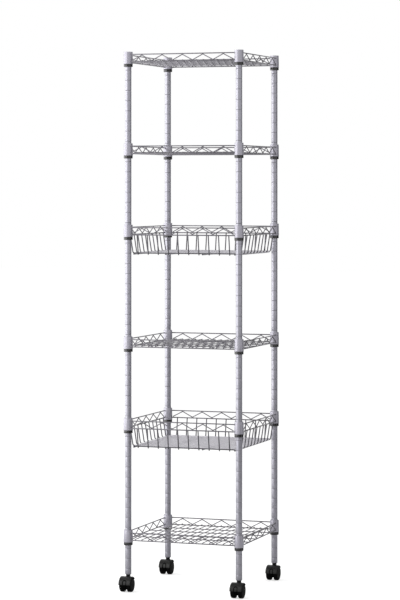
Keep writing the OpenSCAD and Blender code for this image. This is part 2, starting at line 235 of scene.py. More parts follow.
def addNode(tree, kind, settings=None, links=None):
    # A node with its settings, which are socket values or properties, and the sockets that feed it
    node = tree.nodes.new(kind)
    for name, value in (settings or {}).items():
        if name in node.inputs:
            node.inputs[name].default_value = value
        else:
            setattr(node, name, value)
    for name, source in (links or {}).items():
        tree.links.new(source, node.inputs[name])
    return node


clouds = {"detail": 4.0, "roughness": 0.6, "low": 0.3, "high": 0.7, "grainDetail": 2.0}  # of every finish


def finish(name, shades, shadeSize, roughness, grainSize, grainDepth, gloss):
    # Two close shades drift over shadeSize, and the roughness with them over its own range. A grain of
    # grainSize stands grainDepth proud. Sizes are in millimetres. gloss holds the shader's own fixed values.
    material = bpy.data.materials.new(name)
    material.use_nodes = True
    tree = material.node_tree
    tree.nodes.clear()
    place = addNode(tree, "ShaderNodeTexCoord").outputs["Object"]
    drift = addNode(tree, "ShaderNodeTexNoise", {
        "Scale": 1000 / shadeSize, "Detail": clouds["detail"], "Roughness": clouds["roughness"]},
        {"Vector": place})
    ramp = addNode(tree, "ShaderNodeValToRGB", {}, {"Fac": drift.outputs["Fac"]})
    for stop, position, shade in zip(ramp.color_ramp.elements, (clouds["low"], clouds["high"]), shades):
        stop.position = position
        stop.color = linear(shade)
    sheen = addNode(tree, "ShaderNodeMapRange", {
        "From Min": clouds["low"], "From Max": clouds["high"],
        "To Min": roughness[0], "To Max": roughness[1]}, {"Value": drift.outputs["Fac"]})
    grain = addNode(tree, "ShaderNodeTexNoise", {"Scale": 1000 / grainSize, "Detail": clouds["grainDetail"]},
                    {"Vector": place})
    bump = addNode(tree, "ShaderNodeBump", {"Strength": 1.0, "Distance": grainDepth / 1000},
                   {"Height": grain.outputs["Fac"]})
    shader = addNode(tree, "ShaderNodeBsdfPrincipled", gloss, {
        "Base Color": ramp.outputs["Color"], "Roughness": sheen.outputs["Result"],
        "Normal": bump.outputs["Normal"]})
    addNode(tree, "ShaderNodeOutputMaterial", {}, {"Surface": shader.outputs["BSDF"]})
    return material


# Epoxy powder with aluminium flake, baked on steel tube: a satin silver grey with a lilac cast. The flake
# gives a broad soft highlight, and the resin over it a thin sharper one. Orange peel is about 2 mm across.
postPowderCoat = finish("silverPowderCoatedTube", ("96959E", "9A99A2"), 14, (0.27, 0.3), 2.2, 0.0015,
                        {"Metallic": 0.6, "Coat Weight": 0.3, "Coat Roughness": 0.18})
# The same powder on the pressed collars, which hold a thicker coat and look a little lighter
collarPowderCoat = finish("silverPowderCoatedCollar", ("9C9AA4", "A19FA9"), 10, (0.31, 0.35), 1.8, 0.003,
                          {"Metallic": 0.4, "Coat Weight": 0.3, "Coat Roughness": 0.2})
# The same powder in a rolled groove, drawn darker as painted shade, so that it reads as a fine darker line
grooveShadePowderCoat = finish("powderCoatPaintedGrooveShade", ("727078", "7C7A82"), 8, (0.4, 0.46), 1.5, 0.003,
                          {"Metallic": 0.6, "Coat Weight": 0.2, "Coat Roughness": 0.2})
# The same powder on drawn wire, thinner there, so that the dark steel tells
wirePowderCoat = finish("silverPowderCoatedWire", ("636167", "6B696F"), 12, (0.33, 0.38), 1.4, 0.003,
                        {"Metallic": 0.7, "Coat Weight": 0.2, "Coat Roughness": 0.2})
# The baskets' hanging wires are drawn darker than the trusses as painted shade, and read as darker lines
basketPaintedShadeCoat = finish("silverPowderCoatBasketPaintedShade", ("4A494E", "525156"), 12, (0.33, 0.38), 1.4, 0.003,
                          {"Metallic": 0.7, "Coat Weight": 0.15, "Coat Roughness": 0.2})
# Wires that lie flat are drawn paler, as painted light from above: a deck's wires paler than the edges'
# wires, and a basket floor's paler still
deckPaintedLightCoat = finish("silverPowderCoatDeckWirePaintedLight", ("7E7C82", "86848A"), 12, (0.33, 0.38), 1.4, 0.003,
                        {"Metallic": 0.6, "Coat Weight": 0.2, "Coat Roughness": 0.2})
floorPaintedLightCoat = finish("silverPowderCoatFloorWirePaintedLight", ("B4B2B8", "BCBAC0"), 12, (0.33, 0.38), 1.4, 0.003,
                         {"Metallic": 0.5, "Coat Weight": 0.2, "Coat Roughness": 0.2})
# Zinc plate under a clear chromate: bright, faintly blue, and cloudy over a few millimetres
zincPlate = finish("zincPlatedSteel", ("B9BCC0", "CBCDCF"), 5, (0.25, 0.35), 0.8, 0.006, {"Metallic": 1.0})
# Black oxide on turned steel, oiled: a soft dark gloss
blackOxide = finish("blackOxideSteel", ("0E0E10", "18181B"), 4, (0.32, 0.42), 0.7, 0.008,
                    {"Metallic": 0.4, "Specular IOR Level": 0.5})
# Polypropylene, injection moulded in a polished tool: black, glossy enough to show the softboxes as a streak
sleevePolypropylene = finish("mouldedPolypropylene", ("08080A", "0F0F11"), 6, (0.14, 0.2), 0.9, 0.002,
                             {"IOR": 1.49, "Specular IOR Level": 0.65})
# Glass-filled nylon, moulded in a spark-eroded tool: near black, with a fine grain of about 0.3 mm, drawn at
# 0.9 mm so that it shows
hoodNylon = finish("mouldedNylon", ("0B0B0B", "151513"), 7, (0.26, 0.34), 0.9, 0.012,
                   {"IOR": 1.53, "Specular IOR Level": 0.2})
# The same nylon in the slot round the hood's tongue and on the web between the wheels, drawn black as
# painted shade, for little light reaches there
slotShadeNylon = finish("mouldedNylonPaintedShade", ("020202", "040404"), 7, (0.6, 0.7), 0.9, 0.004,
                   {"IOR": 1.53, "Specular IOR Level": 0.02})
# Polyurethane tread, cast: deep black and dull beside the hub
treadPolyurethane = finish("castPolyurethane", ("040404", "080808"), 5, (0.55, 0.65), 0.8, 0.008,
                           {"IOR": 1.5, "Specular IOR Level": 0.04})
# Nylon hub, turned on its face: a shade lighter than the tread, and nearly as dull
hubNylon = finish("turnedNylonHub", ("080808", "0F0F0F"), 8, (0.5, 0.6), 1.2, 0.004,
                  {"IOR": 1.53, "Specular IOR Level": 0.05})
print("finishes made")


post = {
    "radius": 9.5,
    "wall": 1.2,
    "firstGroove": 16.0,  # above the post's foot
    "grooveDepth": 0.5, "grooveHalfWidth": 0.72,
    "grooveSpan": 2, "grooveRows": 13,  # rows over so many half widths on either side of a groove's middle
    "pastEnd": 1,  # a groove this far past a section's end still shapes it
    "seams": (0.0, 526.0, 1036.0, 1538.2),  # where one section ends and the next begins
    "endEase": 0.5,  # how far the radius shrinks at a section's ends
    "endRows": (0, 0.12, 0.3, 0.6),  # from an end; the ease reaches as far as the last
    "sides": 72,
}


def postTube(low, high):
    # Outside: radius less depth * exp(-(distance from the groove / half width)^2), and less an ease at the
    # two ends, which is what shows as a seam. Inside: the bore, straight. The rows in a groove take the
    # painted groove shade.
    grooves = np.arange(post["firstGroove"], high + post["pastEnd"], rack["groovePitch"])
    near = grooves[(grooves > low - post["pastEnd"]) & (grooves < high + post["pastEnd"])]
    span = np.linspace(-post["grooveSpan"], post["grooveSpan"], post["grooveRows"])
    around = span * post["grooveHalfWidth"]
    ends = np.array(post["endRows"])
    z = np.unique(np.round(np.concatenate([(near[:, None] + around).ravel(), low + ends, high - ends]), 3))
    z = z[(z >= low) & (z <= high)]
    off = np.abs(z[:, None] - near).min(1)
    r = post["radius"] - post["grooveDepth"] * np.exp(-(off / post["grooveHalfWidth"]) ** 2)
    toEnd = np.minimum(z - low, high - z)
    r -= post["endEase"] * np.clip(1 - toEnd / ends[-1], 0, 1) ** 2
    bore = post["radius"] - post["wall"]
    between = np.abs((z[1:, None] + z[:-1, None]) / 2 - near).min(1)
    grooveShadeRows = np.concatenate([between < post["grooveHalfWidth"], [False] * 3])
    return lathe(np.concatenate([np.stack([r, z], 1), [[bore, high], [bore, low]]]), post["sides"], grooveShadeRows)


for cornerName, (x, y) in corners.items():
    for section, low, high in zip(("lower", "middle", "upper"), post["seams"], post["seams"][1:]):
        tube = moved(postTube(low, high), (x, y, rack["postFoot"]))
        node = f"post_{cornerName}_{section}"
        makePiece(f"{node}_tube", tube, postPowderCoat, "frame", [node],
                  second=grooveShadePowderCoat)


# A plug with a flange over the tube's end. A turned solid keeps a fine hole on its axis, so that its mesh
# closes without a point.
cap = {"hole": 0.4, "plugRadius": 8.28, "plugLength": 12, "flange": 2,
       "rounds": (0.05, 0.8, 0.1, 0.1, 0.55, 0.05)}


def capPart():
    # Turned from hole, plug and flange; its height starts at the plug's foot
    ledge, top = cap["plugLength"], cap["plugLength"] + cap["flange"]
    outline = [(cap["hole"], 0), (cap["plugRadius"], 0), (cap["plugRadius"], ledge), (post["radius"], ledge),
               (post["radius"], top), (cap["hole"], top)]
    return lathe(roundCorners(outline, cap["rounds"], steps=5), sides=64)


capFoot = rack["postFoot"] + post["seams"][-1] - cap["plugLength"]
makePiece("post_top_caps", atCorners(moved(capPart(), (0, 0, capFoot))), postPowderCoat,
          "frame", ["post_caps"])
print("posts made")


# Heights of collar and sleeve are from the tier's own
collar = {"low": 4.2, "height": 36.0, "lowRadius": 13.95, "highRadius": 13.2, "wall": 1.4, "edge": 0.6}
sleeve = {
    "lipLow": -4.5, "lipHigh": 3.9, "lipRadius": 13.3, "top": 33.9, "bore": 9.55,
    "gap": 1.0,  # between the two halves
    "play": 0.06,  # between the sleeve and the collar round it
    "rounds": (0.2, 1.3, 0.7, 0.1, 0.3, 0.2), "columns": 40,
}


def collarRadius(z):
    # Outer radius, tapered evenly from the collar's foot to its top
    taper = collar["lowRadius"] - collar["highRadius"]
    return collar["lowRadius"] - taper * (z - collar["low"]) / collar["height"]


def collarPart():
    # A tapered ring of even wall, its four edges rounded
    low, high = collar["low"], collar["low"] + collar["height"]
    outline = [(collarRadius(low), low), (collarRadius(high), high),
               (collarRadius(high) - collar["wall"], high), (collarRadius(low) - collar["wall"], low)]
    return lathe(roundCorners(outline, collar["edge"]), sides=96)


def sleevePart():
    # A half shell: the outline at radius r runs from angle asin(gap / 2r) to 180 degrees less that, so that
    # the two halves face each other with parallel sides. The second half is the first turned round.
    cone = [collarRadius(z) - collar["wall"] - sleeve["play"] for z in (sleeve["lipHigh"], sleeve["top"])]
    outline = roundCorners([(sleeve["bore"], sleeve["lipLow"]), (sleeve["lipRadius"], sleeve["lipLow"]),
                            (sleeve["lipRadius"], sleeve["lipHigh"]), (cone[0], sleeve["lipHigh"]),
                            (cone[1], sleeve["top"]), (sleeve["bore"], sleeve["top"])], sleeve["rounds"])
    r, z = outline[:, 0], outline[:, 1]
    start = np.arcsin(sleeve["gap"] / 2 / r)
    s = np.linspace(0, 1, sleeve["columns"])[:, None]
    a = start + s * (np.pi - 2 * start)
    half = shell(np.stack([r * np.cos(a), r * np.sin(a), z + 0 * a], -1), loopColumns=True, closeEnds=True)
    return joined([half, turned(half, 180)])


for tier, height in tierHeight.items():
    makePiece(f"{tier}_pressed_collars", atCorners(moved(collarPart(), (0, 0, height))), collarPowderCoat,
              tier, [f"{tier}_collars"])
    makePiece(f"{tier}_split_sleeves", atCorners(moved(sleevePart(), (0, 0, height))), sleevePolypropylene,
              "frame", [f"{tier}_sleeves"])
print("collars and sleeves made")


# Heights are from the tier's own, to the middles of the wires
truss = {
    "offset": 180.0,  # from the middle to the plane of an edge's wires
    "topHeight": 32.0, "topDiameter": 3.3,
    "railHeight": 10.5, "railDiameter": 3.5,
    "zigzagDiameter": 2.8, "zigzagBend": 4.5,  # radius of the wire's middle line at a bend
    "peaks": 5, "pitch": 63.2,
    "bite": 0.12,  # how far welded wires sink into each other
}
deck = {
    "wires": 15, "diameter": 2.6, "height": 13.57,
    "crossWires": 4, "crossDiameter": 3.2, "crossHeight": 10.97,
}
basket = {
    "depth": 57.0, "lean": 9.0,  # of a wall's wires, from the rail to the floor's lower wires
    "diameter": 3.4, "wires": 10, "bend": 5.0, "bite": 0.3,
    "inset": 176.85,  # from the middle to a wall's wires at the rail
    "edgeX": 156.7, "edgeY": 164.95,  # the wires along the floor's edges, left and right, front and back
    "pastRail": 1.0,  # how far a wall's wires reach up past the rail's middle
    "pastFloor": 1.7,  # how far the front and back walls' wires go down past the floor's lower wires
    "crossWires": 2,
}


def reachInCollar(z):
    # An edge wire ends in the middle of the collar's wall: half - sqrt(r^2 - offset^2)
    r = collarRadius(z) - collar["wall"] / 2
    return rack["half"] - math.sqrt(r ** 2 - (truss["offset"] - rack["half"]) ** 2)


def zigzagPath():
    # Peaks and valleys by turns, each bend drawn in by bend * (1 / cos(slope) - 1), which is added back so
    # that the bends still reach the wires above and below
    high = truss["topHeight"] - truss["topDiameter"] / 2 - truss["zigzagDiameter"] / 2 + truss["bite"]
    low = truss["railHeight"] + truss["railDiameter"] / 2 + truss["zigzagDiameter"] / 2 - truss["bite"]
    slope = math.atan2(high - low, truss["pitch"] / 2)
    lost = truss["zigzagBend"] * (1 / math.cos(slope) - 1)
    k = np.arange(2 * truss["peaks"] + 1)
    x = (k - truss["peaks"]) * truss["pitch"] / 2
    z = np.where(k % 2 == 1, high + lost, low - lost)
    z[[0, -1]] = low
    flat = roundCorners(np.stack([x, z], 1), truss["zigzagBend"], steps=9, loop=False)
    return np.stack([flat[:, 0], np.full(len(flat), -truss["offset"]), flat[:, 1]], 1), x


def trussPart():
    # The front edge: top wire, zigzag and rail, and a bead at each weld
    y, high, low = -truss["offset"], truss["topHeight"], truss["railHeight"]
    top, rail = reachInCollar(high), reachInCollar(low)
    path, x = zigzagPath()
    topWeld, railWeld = high - truss["topDiameter"] / 2, low + truss["railDiameter"] / 2
    return joined([
        wire([(-top, y, high), (top, y, high)], truss["topDiameter"], (0, 1, 0)),
        wire([(-rail, y, low), (rail, y, low)], truss["railDiameter"], (0, 1, 0)),
        wire(path, truss["zigzagDiameter"], (0, 1, 0)),
        beads([(place, y, topWeld) for place in x[1::2]], "zigzag"),
        beads([(place, y, railWeld) for place in x[2:-1:2]], "zigzag"),
    ])


def spread(count):
    # Whole steps about the middle: k - (count - 1) / 2
    return np.arange(count) - (count - 1) / 2


def deckPart():
    # Wires from front to back on the rails, three to a zigzag's pitch, and cross wires under them, evenly
    # between the posts, with a bead where each pair meets
    reach = truss["offset"] + truss["railDiameter"] / 2
    crossReach = truss["offset"] - truss["railDiameter"] / 2 + truss["bite"]
    high, low = deck["height"], deck["crossHeight"]
    x = spread(deck["wires"]) * truss["pitch"] / 3
    y = spread(deck["crossWires"]) * 2 * rack["half"] / (deck["crossWires"] + 1)
    lines = [wire([(k, -reach, high), (k, reach, high)], deck["diameter"], (1, 0, 0)) for k in x]
    lines += [wire([(-crossReach, k, low), (crossReach, k, low)], deck["crossDiameter"], (0, 1, 0))
              for k in y]
    under = high - deck["diameter"] / 2
    rails = [(k, side * truss["offset"], under) for k in x for side in (-1, 1)]
    crossings = [(k, row, under) for k in x for row in y]
    return joined(lines + [beads(rails + crossings, "deck")])


def leanOut(z):
    # How far from the middle the wires of a basket wall are at a height: inset - drop * lean / depth
    return basket["inset"] - (truss["railHeight"] - z) * basket["lean"] / basket["depth"]


def bentWire(floor):
    # One wire, down the left wall, across the floor and up the right wall. The wall leans in by lean over
    # depth, and each bend is an arc.
    top = truss["railHeight"] + basket["pastRail"]
    high, foot = leanOut(top), leanOut(floor)
    corner = np.array([(-high, top), (-foot, floor), (foot, floor), (high, top)])
    flat = roundCorners(corner, basket["bend"], steps=12, loop=False)
    path = np.stack([flat[:, 0], np.zeros(len(flat)), flat[:, 1]], 1)
    return wire(path, basket["diameter"], (0, 1, 0), sides=16)


def markPaintedLightFloor(part, height):
    # Marks the faces whose middle lies below a height and inside the feet of the walls' wires, for the
    # floor's painted light
    middle = part["points"][part["quads"]].mean(1)
    inside = (np.abs(middle[:, :2]) < basket["edgeY"]).all(1) & (middle[:, 2] < height)
    return {**part, "accent": inside}


def basketWiresPart():
    # Bent wires from left to right, two to a zigzag's pitch, on two cross wires and the floor's left and
    # right edge wires. The floor's front and back edge wires lie level with the bent ones, inside the feet of
    # the front and back walls' wires.
    y = spread(basket["wires"]) * truss["pitch"] / 2
    low = truss["railHeight"] - basket["depth"]
    high = low + basket["diameter"] - basket["bite"]
    foot, top = low - basket["pastFloor"], truss["railHeight"] + basket["pastRail"]
    crossX = spread(basket["crossWires"]) * 2 * rack["half"] / (basket["crossWires"] + 1)
    columnX = [-basket["edgeX"], *crossX, basket["edgeX"]]
    reachX, reachY = basket["edgeX"] + basket["diameter"] / 2, basket["edgeY"] + basket["diameter"] / 2
    pieces = [moved(bentWire(high), (0, k, 0)) for k in y]
    pieces += [wire([(k, -reachY, low), (k, reachY, low)], basket["diameter"], (1, 0, 0)) for k in columnX]
    for side in (-1, 1):
        edge = side * basket["edgeY"]
        pieces.append(wire([(-reachX, edge, high), (reachX, edge, high)], basket["diameter"], (0, 1, 0)))
        pieces += [wire([(k, side * leanOut(foot), foot), (k, side * leanOut(top), top)], basket["diameter"],
                        (1, 0, 0)) for k in y]
    meet = low + basket["diameter"] / 2 - basket["bite"] / 2
    crossings = [(a, b, meet) for a in columnX for b in [-basket["edgeY"], *y, basket["edgeY"]]]
    feet = [(k, side * reachY, high) for side in (-1, 1) for k in y]
    pieces += [beads(crossings, "basketFloor", rows=4), beads(feet, "basketFoot", rows=4)]
    return markPaintedLightFloor(joined(pieces), high + basket["diameter"])


def railWeldsPart():
    # Where a basket wire passes the rail, a bead on its inner side
    x = spread(basket["wires"]) * truss["pitch"] / 2
    y = -(truss["offset"] - truss["railDiameter"] / 2)
    return beads([(k, y, truss["railHeight"]) for k in x], "basketRail")


edges = onFourSides(trussPart())
basketEdges = onFourSides(joined([trussPart(), railWeldsPart()]))
wiresOfDeck = deckPart()
wiresOfBasket = basketWiresPart()
for tier, height in tierHeight.items():
    up = (0, 0, height)
    if tier.startswith("shelf"):
        makePiece(f"{tier}_edge_wires", moved(edges, up), wirePowderCoat, tier,
                  [f"{tier}_trusses"])
        makePiece(f"{tier}_deck_wires", moved(wiresOfDeck, up), deckPaintedLightCoat, tier,
                  [f"{tier}_deck"])
    else:
        makePiece(f"{tier}_edge_wires", moved(basketEdges, up), wirePowderCoat, tier,
                  [f"{tier}_walls"])
        makePiece(f"{tier}_basket_wires", moved(wiresOfBasket, up), basketPaintedShadeCoat, tier,
                  [f"{tier}_floor"], second=floorPaintedLightCoat)
print("wires made")


# Heights are above the floor
caster = {
    "trail": 11.0, "axleHeight": 21.5,
    "hole": 0.3,  # the fine one on the axis of each turned solid
    "hoodRadius": 24.0, "hoodInside": 22.2, "hoodHalfWidth": 18.65, "hoodShoulder": 2.0,
    "hoodEdge": 23.0,  # height of the hood's lower edge in front
    "hoodBack": 7.0,  # where the cover ends behind the stem
    "hoodRows": 110, "hoodColumns": 82, "shoulderColumns": 7, "insideColumns": 9,
    "archWidth": 13.0, "archTop": 37.5, "slotWidth": 2.6, "slotDepth": 1.25, "tongueDepth": 0.35,
    "slotEase": 0.5,  # across the slot's walls
    # The slot's deeper faces and the whole web take the painted shade
    "slotShadeShare": 0.45,  # of its depth, from which a face takes the slot's finish
    "webHalfWidth": 4.75, "webFoot": 10.5, "webEdge": 1.4, "webEdgeRows": 5, "webColumns": 80,
    "webSunk": 0.9,  # below the cover's outside
}
boss = {
    "top": 45.5, "radius": 7.0, "flareTop": 42.8, "flare": 1.6,
    "inWeb": 0.15,  # how far its narrow part stays inside the web's sides
    "footBelow": 1.5, "pitBelow": 0.3,  # under the pin's foot
    "play": 0.05,
    "rounds": (0.05, 0.3, 0.5, 0.6, 0.7, 0.2, 0.2, 0.05),
}
stem = {
    "pinFoot": 25.5, "pinRadius": 3.5, "pinPlay": 0.05,
    "aboveBoss": 0.3,
    "waistRadius": 6.3, "waistTop": 1.4, "neckFoot": 2.6,  # both heights from the waist's foot
    "neckRadius": 7.0, "neckTop": 51.0,
    "shankRadius": 4.0, "shankPlay": 0.02, "shankTop": 67.0,
    "rounds": (0.05, 0.4, 0.1, 0.4, 0.9, 0.8, 0.5, 0.1, 0.6, 0.05),
}
wheel = {
    "inner": 5.45,  # from the caster's middle to the wheel's inner face
    "radius": 21.5, "width": 13.2, "shoulder": 0.5,
    "hubRadius": 16.2, "bore": 3.06, "boreDepth": 3.2,
    "dome": 1.1, "domeTop": 0.15,  # depths of the hub's rim and of the dome's top below the outer face
    "domeRows": 9,
    # Steps of the section where two parts meet, as radius and place along the axle
    "treadFoot": (0.6, 0.3), "treadLip": (0.3, 0.25), "hubEdge": (0.5, 0.35), "domeEnds": (1.0, 0.9),
    "capRadius": 5.2, "capTaper": 0.3, "capFoot": 0.55, "capTop": 0.02,
    "treadRounds": (0.3, 1.65, 3.3, 0.4), "rimRounds": [0.2, 0.3, 0.25], "domeRound": 0.5,
    "capRounds": [0.2, 0.25, 0.05, 0.05, 0.2],
}


def smoothStep(t):
    # From 0 to 1 with level ends: 3 t^2 - 2 t^3
    t = np.clip(t, 0, 1)
    return t * t * (3 - 2 * t)


def archDepth(x, z):
    # Depth of the slot round the hood's tongue: d is the distance inside an upright arch with a round top,
    # and the slot runs from d = 0 to its width, past which the tongue stands again
    half, ease = caster["archWidth"] / 2, caster["slotEase"]
    above = np.maximum(z - (caster["archTop"] - half), 0)
    d = half - np.hypot(x, above)
    slot = smoothStep(d / ease) * caster["slotDepth"]
    tongue = smoothStep((d - caster["slotWidth"] + ease) / ease)
    return slot - tongue * (caster["slotDepth"] - caster["tongueDepth"])


def coverPart():
    # A loop across the hood, carried round the axle: y = -trail - R cos t, z = axle + R sin t. R is the
    # outer radius less a rounded shoulder near the sides and less the slot's depth in front, and the inner
    # radius on the way back.
    w, e = caster["hoodHalfWidth"], caster["hoodShoulder"]
    bend = e * (1 - np.cos(np.linspace(0, np.pi / 2, caster["shoulderColumns"])))
    flat = np.linspace(-w + e, w - e, caster["hoodColumns"])[1:-1]
    x = np.concatenate([-w + bend, flat, w - bend[::-1]])
    over = np.clip(np.abs(x) - (w - e), 0, e)
    shoulder = e - np.sqrt(np.maximum(e ** 2 - over ** 2, 0))
    outer = caster["hoodRadius"] - shoulder * (caster["hoodRadius"] - caster["hoodInside"]) / e
    inner = np.linspace(w, -w, caster["insideColumns"])[1:-1]
    low = math.asin((caster["hoodEdge"] - caster["axleHeight"]) / caster["hoodRadius"])
    high = math.pi - math.acos((caster["hoodBack"] + caster["trail"]) / caster["hoodRadius"])
    t = np.linspace(low, high, caster["hoodRows"])[:, None]
    depth = archDepth(x[None], caster["axleHeight"] + caster["hoodRadius"] * np.sin(t)) * (np.cos(t) > 0)
    radius = np.concatenate([outer[None] - depth, np.full((len(t), len(inner)), caster["hoodInside"])], 1)
    across = np.broadcast_to(np.concatenate([x, inner]), radius.shape)
    points = np.stack([
        across, -caster["trail"] - radius * np.cos(t), caster["axleHeight"] + radius * np.sin(t)], -1)
    # Faces deep in the slot take the painted shade
    slotShadeFaces = np.zeros((len(t) - 1, radius.shape[1]), bool)
    middle = (depth[1:, 1:] + depth[:-1, 1:] + depth[1:, :-1] + depth[:-1, :-1]) / 4
    slotShadeFaces[:, :len(x) - 1] = middle > caster["slotShadeShare"] * caster["slotDepth"]
    return shell(points, loopColumns=True, closeEnds=True, accent=slotShadeFaces)


def platePart(outline, halfWidth, edge):
    # A flat outline in Y and Z given a thickness along X: the outline is drawn in by edge (1 - cos a) as it
    # nears a face, while x goes from halfWidth - edge to halfWidth as the sine of a. All of it takes the
    # second finish, the painted shade.
    outline = np.array(outline, float)
    way = np.roll(outline, -1, 0) - np.roll(outline, 1, 0)
    inward = np.stack([-way[:, 1], way[:, 0]], 1) / np.linalg.norm(way, axis=1, keepdims=True)
    a = np.linspace(0, np.pi / 2, caster["webEdgeRows"])
    drawn = np.concatenate([edge * (1 - np.cos(a))[::-1], edge * (1 - np.cos(a))])
    x = np.concatenate([-(halfWidth - edge + edge * np.sin(a))[::-1], halfWidth - edge + edge * np.sin(a)])
    flat = outline[None] + drawn[:, None, None] * inward[None]
    points = np.concatenate([np.broadcast_to(x[:, None, None], flat.shape[:2] + (1,)), flat], -1)
    return shell(points, loopColumns=True, closeEnds=True, accent=np.ones((len(x) - 1, len(outline)), bool))


def webPart():
    # The plate between the wheels: a disc round the axle, cut level at its foot
    r = caster["hoodRadius"] - caster["webSunk"]
    down = math.asin((caster["axleHeight"] - caster["webFoot"]) / r)
    a = np.linspace(-down, math.pi + down, caster["webColumns"])
    outline = np.stack([-caster["trail"] + r * np.cos(a), caster["axleHeight"] + r * np.sin(a)], 1)
    return platePart(outline, caster["webHalfWidth"], caster["webEdge"])


def bossPart():
    # Turned round the swivel pin: narrow inside the web, flared above it, with a blind bore from the top
    side, bore = caster["webHalfWidth"] - boss["inWeb"], stem["pinRadius"] + boss["play"]
    foot, pit, hole = stem["pinFoot"] - boss["footBelow"], stem["pinFoot"] - boss["pitBelow"], caster["hole"]
    outline = [(hole, foot), (side, foot), (side, boss["flareTop"] - boss["flare"]),
               (boss["radius"], boss["flareTop"]), (boss["radius"], boss["top"]), (bore, boss["top"]),
               (bore, pit), (hole, pit)]
    return lathe(roundCorners(outline, boss["rounds"]), sides=48)


def stemPart():
    # Pin, waisted neck and shank in one turned piece
    pin, shank = stem["pinRadius"] - stem["pinPlay"], stem["shankRadius"] - stem["shankPlay"]
    hole, waist, neck = caster["hole"], stem["waistRadius"], stem["neckRadius"]
    foot, low = stem["pinFoot"], boss["top"] + stem["aboveBoss"]
    high, top = stem["neckTop"], stem["shankTop"]
    outline = [(hole, foot), (pin, foot), (pin, low), (waist, low), (waist, low + stem["waistTop"]),
               (neck, low + stem["neckFoot"]), (neck, high), (shank, high), (shank, top), (hole, top)]
    return lathe(roundCorners(outline, stem["rounds"], steps=5), sides=56)


def roundAxle(profile):
    # A profile of (radius, place along the axle) turned about X through the axle
    part = lathe(profile, sides=96)
    x, y, z = part["points"].T
    return {**part, "points": np.stack([z, x - caster["trail"], y + caster["axleHeight"]], 1)}


def wheelParts():
    # The tread is a rounded band. The hub stands out as a shallow dome, with a fine step at its rim and a low
    # cap in its middle: x = far - top - (dome - top) (r / hub radius)^2.
    near, far, r = wheel["inner"], wheel["inner"] + wheel["width"], wheel["radius"]
    hub, bore, hole, capEdge = wheel["hubRadius"], wheel["bore"], caster["hole"], wheel["capRadius"]
    rim = far - wheel["dome"]
    footIn, footUp = wheel["treadFoot"]
    lipIn, lipUp = wheel["treadLip"]
    tread = roundCorners([(hub - footIn, near + footUp), (r, near), (r, far - wheel["shoulder"]),
                          (hub - lipIn, rim + lipUp)], wheel["treadRounds"], steps=10)
    edgeIn, edgeDown = wheel["hubEdge"]
    fromRim, toCap = wheel["domeEnds"]
    top = wheel["domeTop"]
    dome = [(k, far - top - (wheel["dome"] - top) * (k / hub) ** 2)
            for k in np.linspace(hub - fromRim, capEdge + toCap, wheel["domeRows"])]
    inside, face = far - wheel["boreDepth"], far - wheel["capTop"]
    outline = [(bore, near), (hub - edgeIn, near), (hub - edgeIn, rim - edgeDown), *dome,
               (capEdge, far - wheel["capFoot"]), (capEdge - wheel["capTaper"], face), (hole, face),
               (hole, inside), (bore, inside)]
    rounds = wheel["rimRounds"] + [wheel["domeRound"]] * len(dome) + wheel["capRounds"]
    return roundAxle(tread), roundAxle(roundCorners(outline, rounds, steps=4))


def mirrored(part):
    # x becomes -x, and each face is walked the other way so that it still looks outwards
    return {**part, "points": part["points"] * np.array([-1, 1, 1]), "quads": part["quads"][:, ::-1],
            "ends": [end[::-1] for end in part["ends"]]}


hood = joined([coverPart(), webPart(), bossPart()])
tread, hub = wheelParts()
makePiece("caster_stems_turned", atCorners(stemPart()), blackOxide, "frame", ["caster_stems"])
for cornerName, (x, y) in corners.items():
    to = (x, y, 0)
    makePiece(f"hood_{cornerName}_shell", moved(hood, to), hoodNylon, f"caster_{cornerName}",
              [f"hood_{cornerName}"], second=slotShadeNylon)
    for side in ("l", "r"):
        node = f"wheel_{cornerName}_{side}"
        band, disc = (tread, hub) if side == "r" else (mirrored(tread), mirrored(hub))
        makePiece(f"{node}_tread", moved(band, to), treadPolyurethane, node, [node])
        makePiece(f"{node}_hub", moved(disc, to), hubNylon, node)
# Inside the posts and wheels the drawing's own solids serve, zinc plated
for node in ["threaded_inserts", "joining_studs"] + [f"axle_{name}" for name in corners]:
    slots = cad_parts[node].data.materials
    slots.clear()
    slots.append(zincPlate)
print("casters made")


# Lengths in the studio are in metres
studio = {
    "world": 0.8,  # what lights the object; a strength of 1 is what the eye sees behind it
    "floorHalf": 25, "floorWhite": 0.5,
    "floorLift": 0.62,  # glow that makes the floor as white as the world behind it
    # Near the object, reflections see the floor's glow taken down: a painted shadow
    "paintedShadeNear": 0.3, "paintedShadeFar": 2.5,  # from the object, between which the glow comes back in reflections
    "aimHeight": 0.85,
    "keyPower": 44.0, "rimPower": 44.0, "topPower": 10.0,
}


def seenDirectly(tree):
    # 1 for what the camera, a reflection or a clear pane sees, and 0 for light that falls on a surface
    path = addNode(tree, "ShaderNodeLightPath")
    seen = addNode(tree, "ShaderNodeMath", {"operation": "ADD"})
    tree.links.new(path.outputs["Is Camera Ray"], seen.inputs[0])
    tree.links.new(path.outputs["Is Glossy Ray"], seen.inputs[1])
    both = addNode(tree, "ShaderNodeMath", {"operation": "ADD", "use_clamp": True})
    tree.links.new(seen.outputs[0], both.inputs[0])
    tree.links.new(path.outputs["Is Transmission Ray"], both.inputs[1])
    return both.outputs[0]


world = bpy.data.worlds.new("whiteStudio")
bpy.context.scene.world = world
world.use_nodes = True
world.node_tree.nodes.clear()
level = addNode(world.node_tree, "ShaderNodeMapRange", {"To Min": studio["world"], "To Max": 1.0},
                {"Value": seenDirectly(world.node_tree)})
sky = addNode(world.node_tree, "ShaderNodeBackground", {"Color": (1, 1, 1, 1)},
              {"Strength": level.outputs["Result"]})
addNode(world.node_tree, "ShaderNodeOutputWorld", {}, {"Surface": sky.outputs["Background"]})

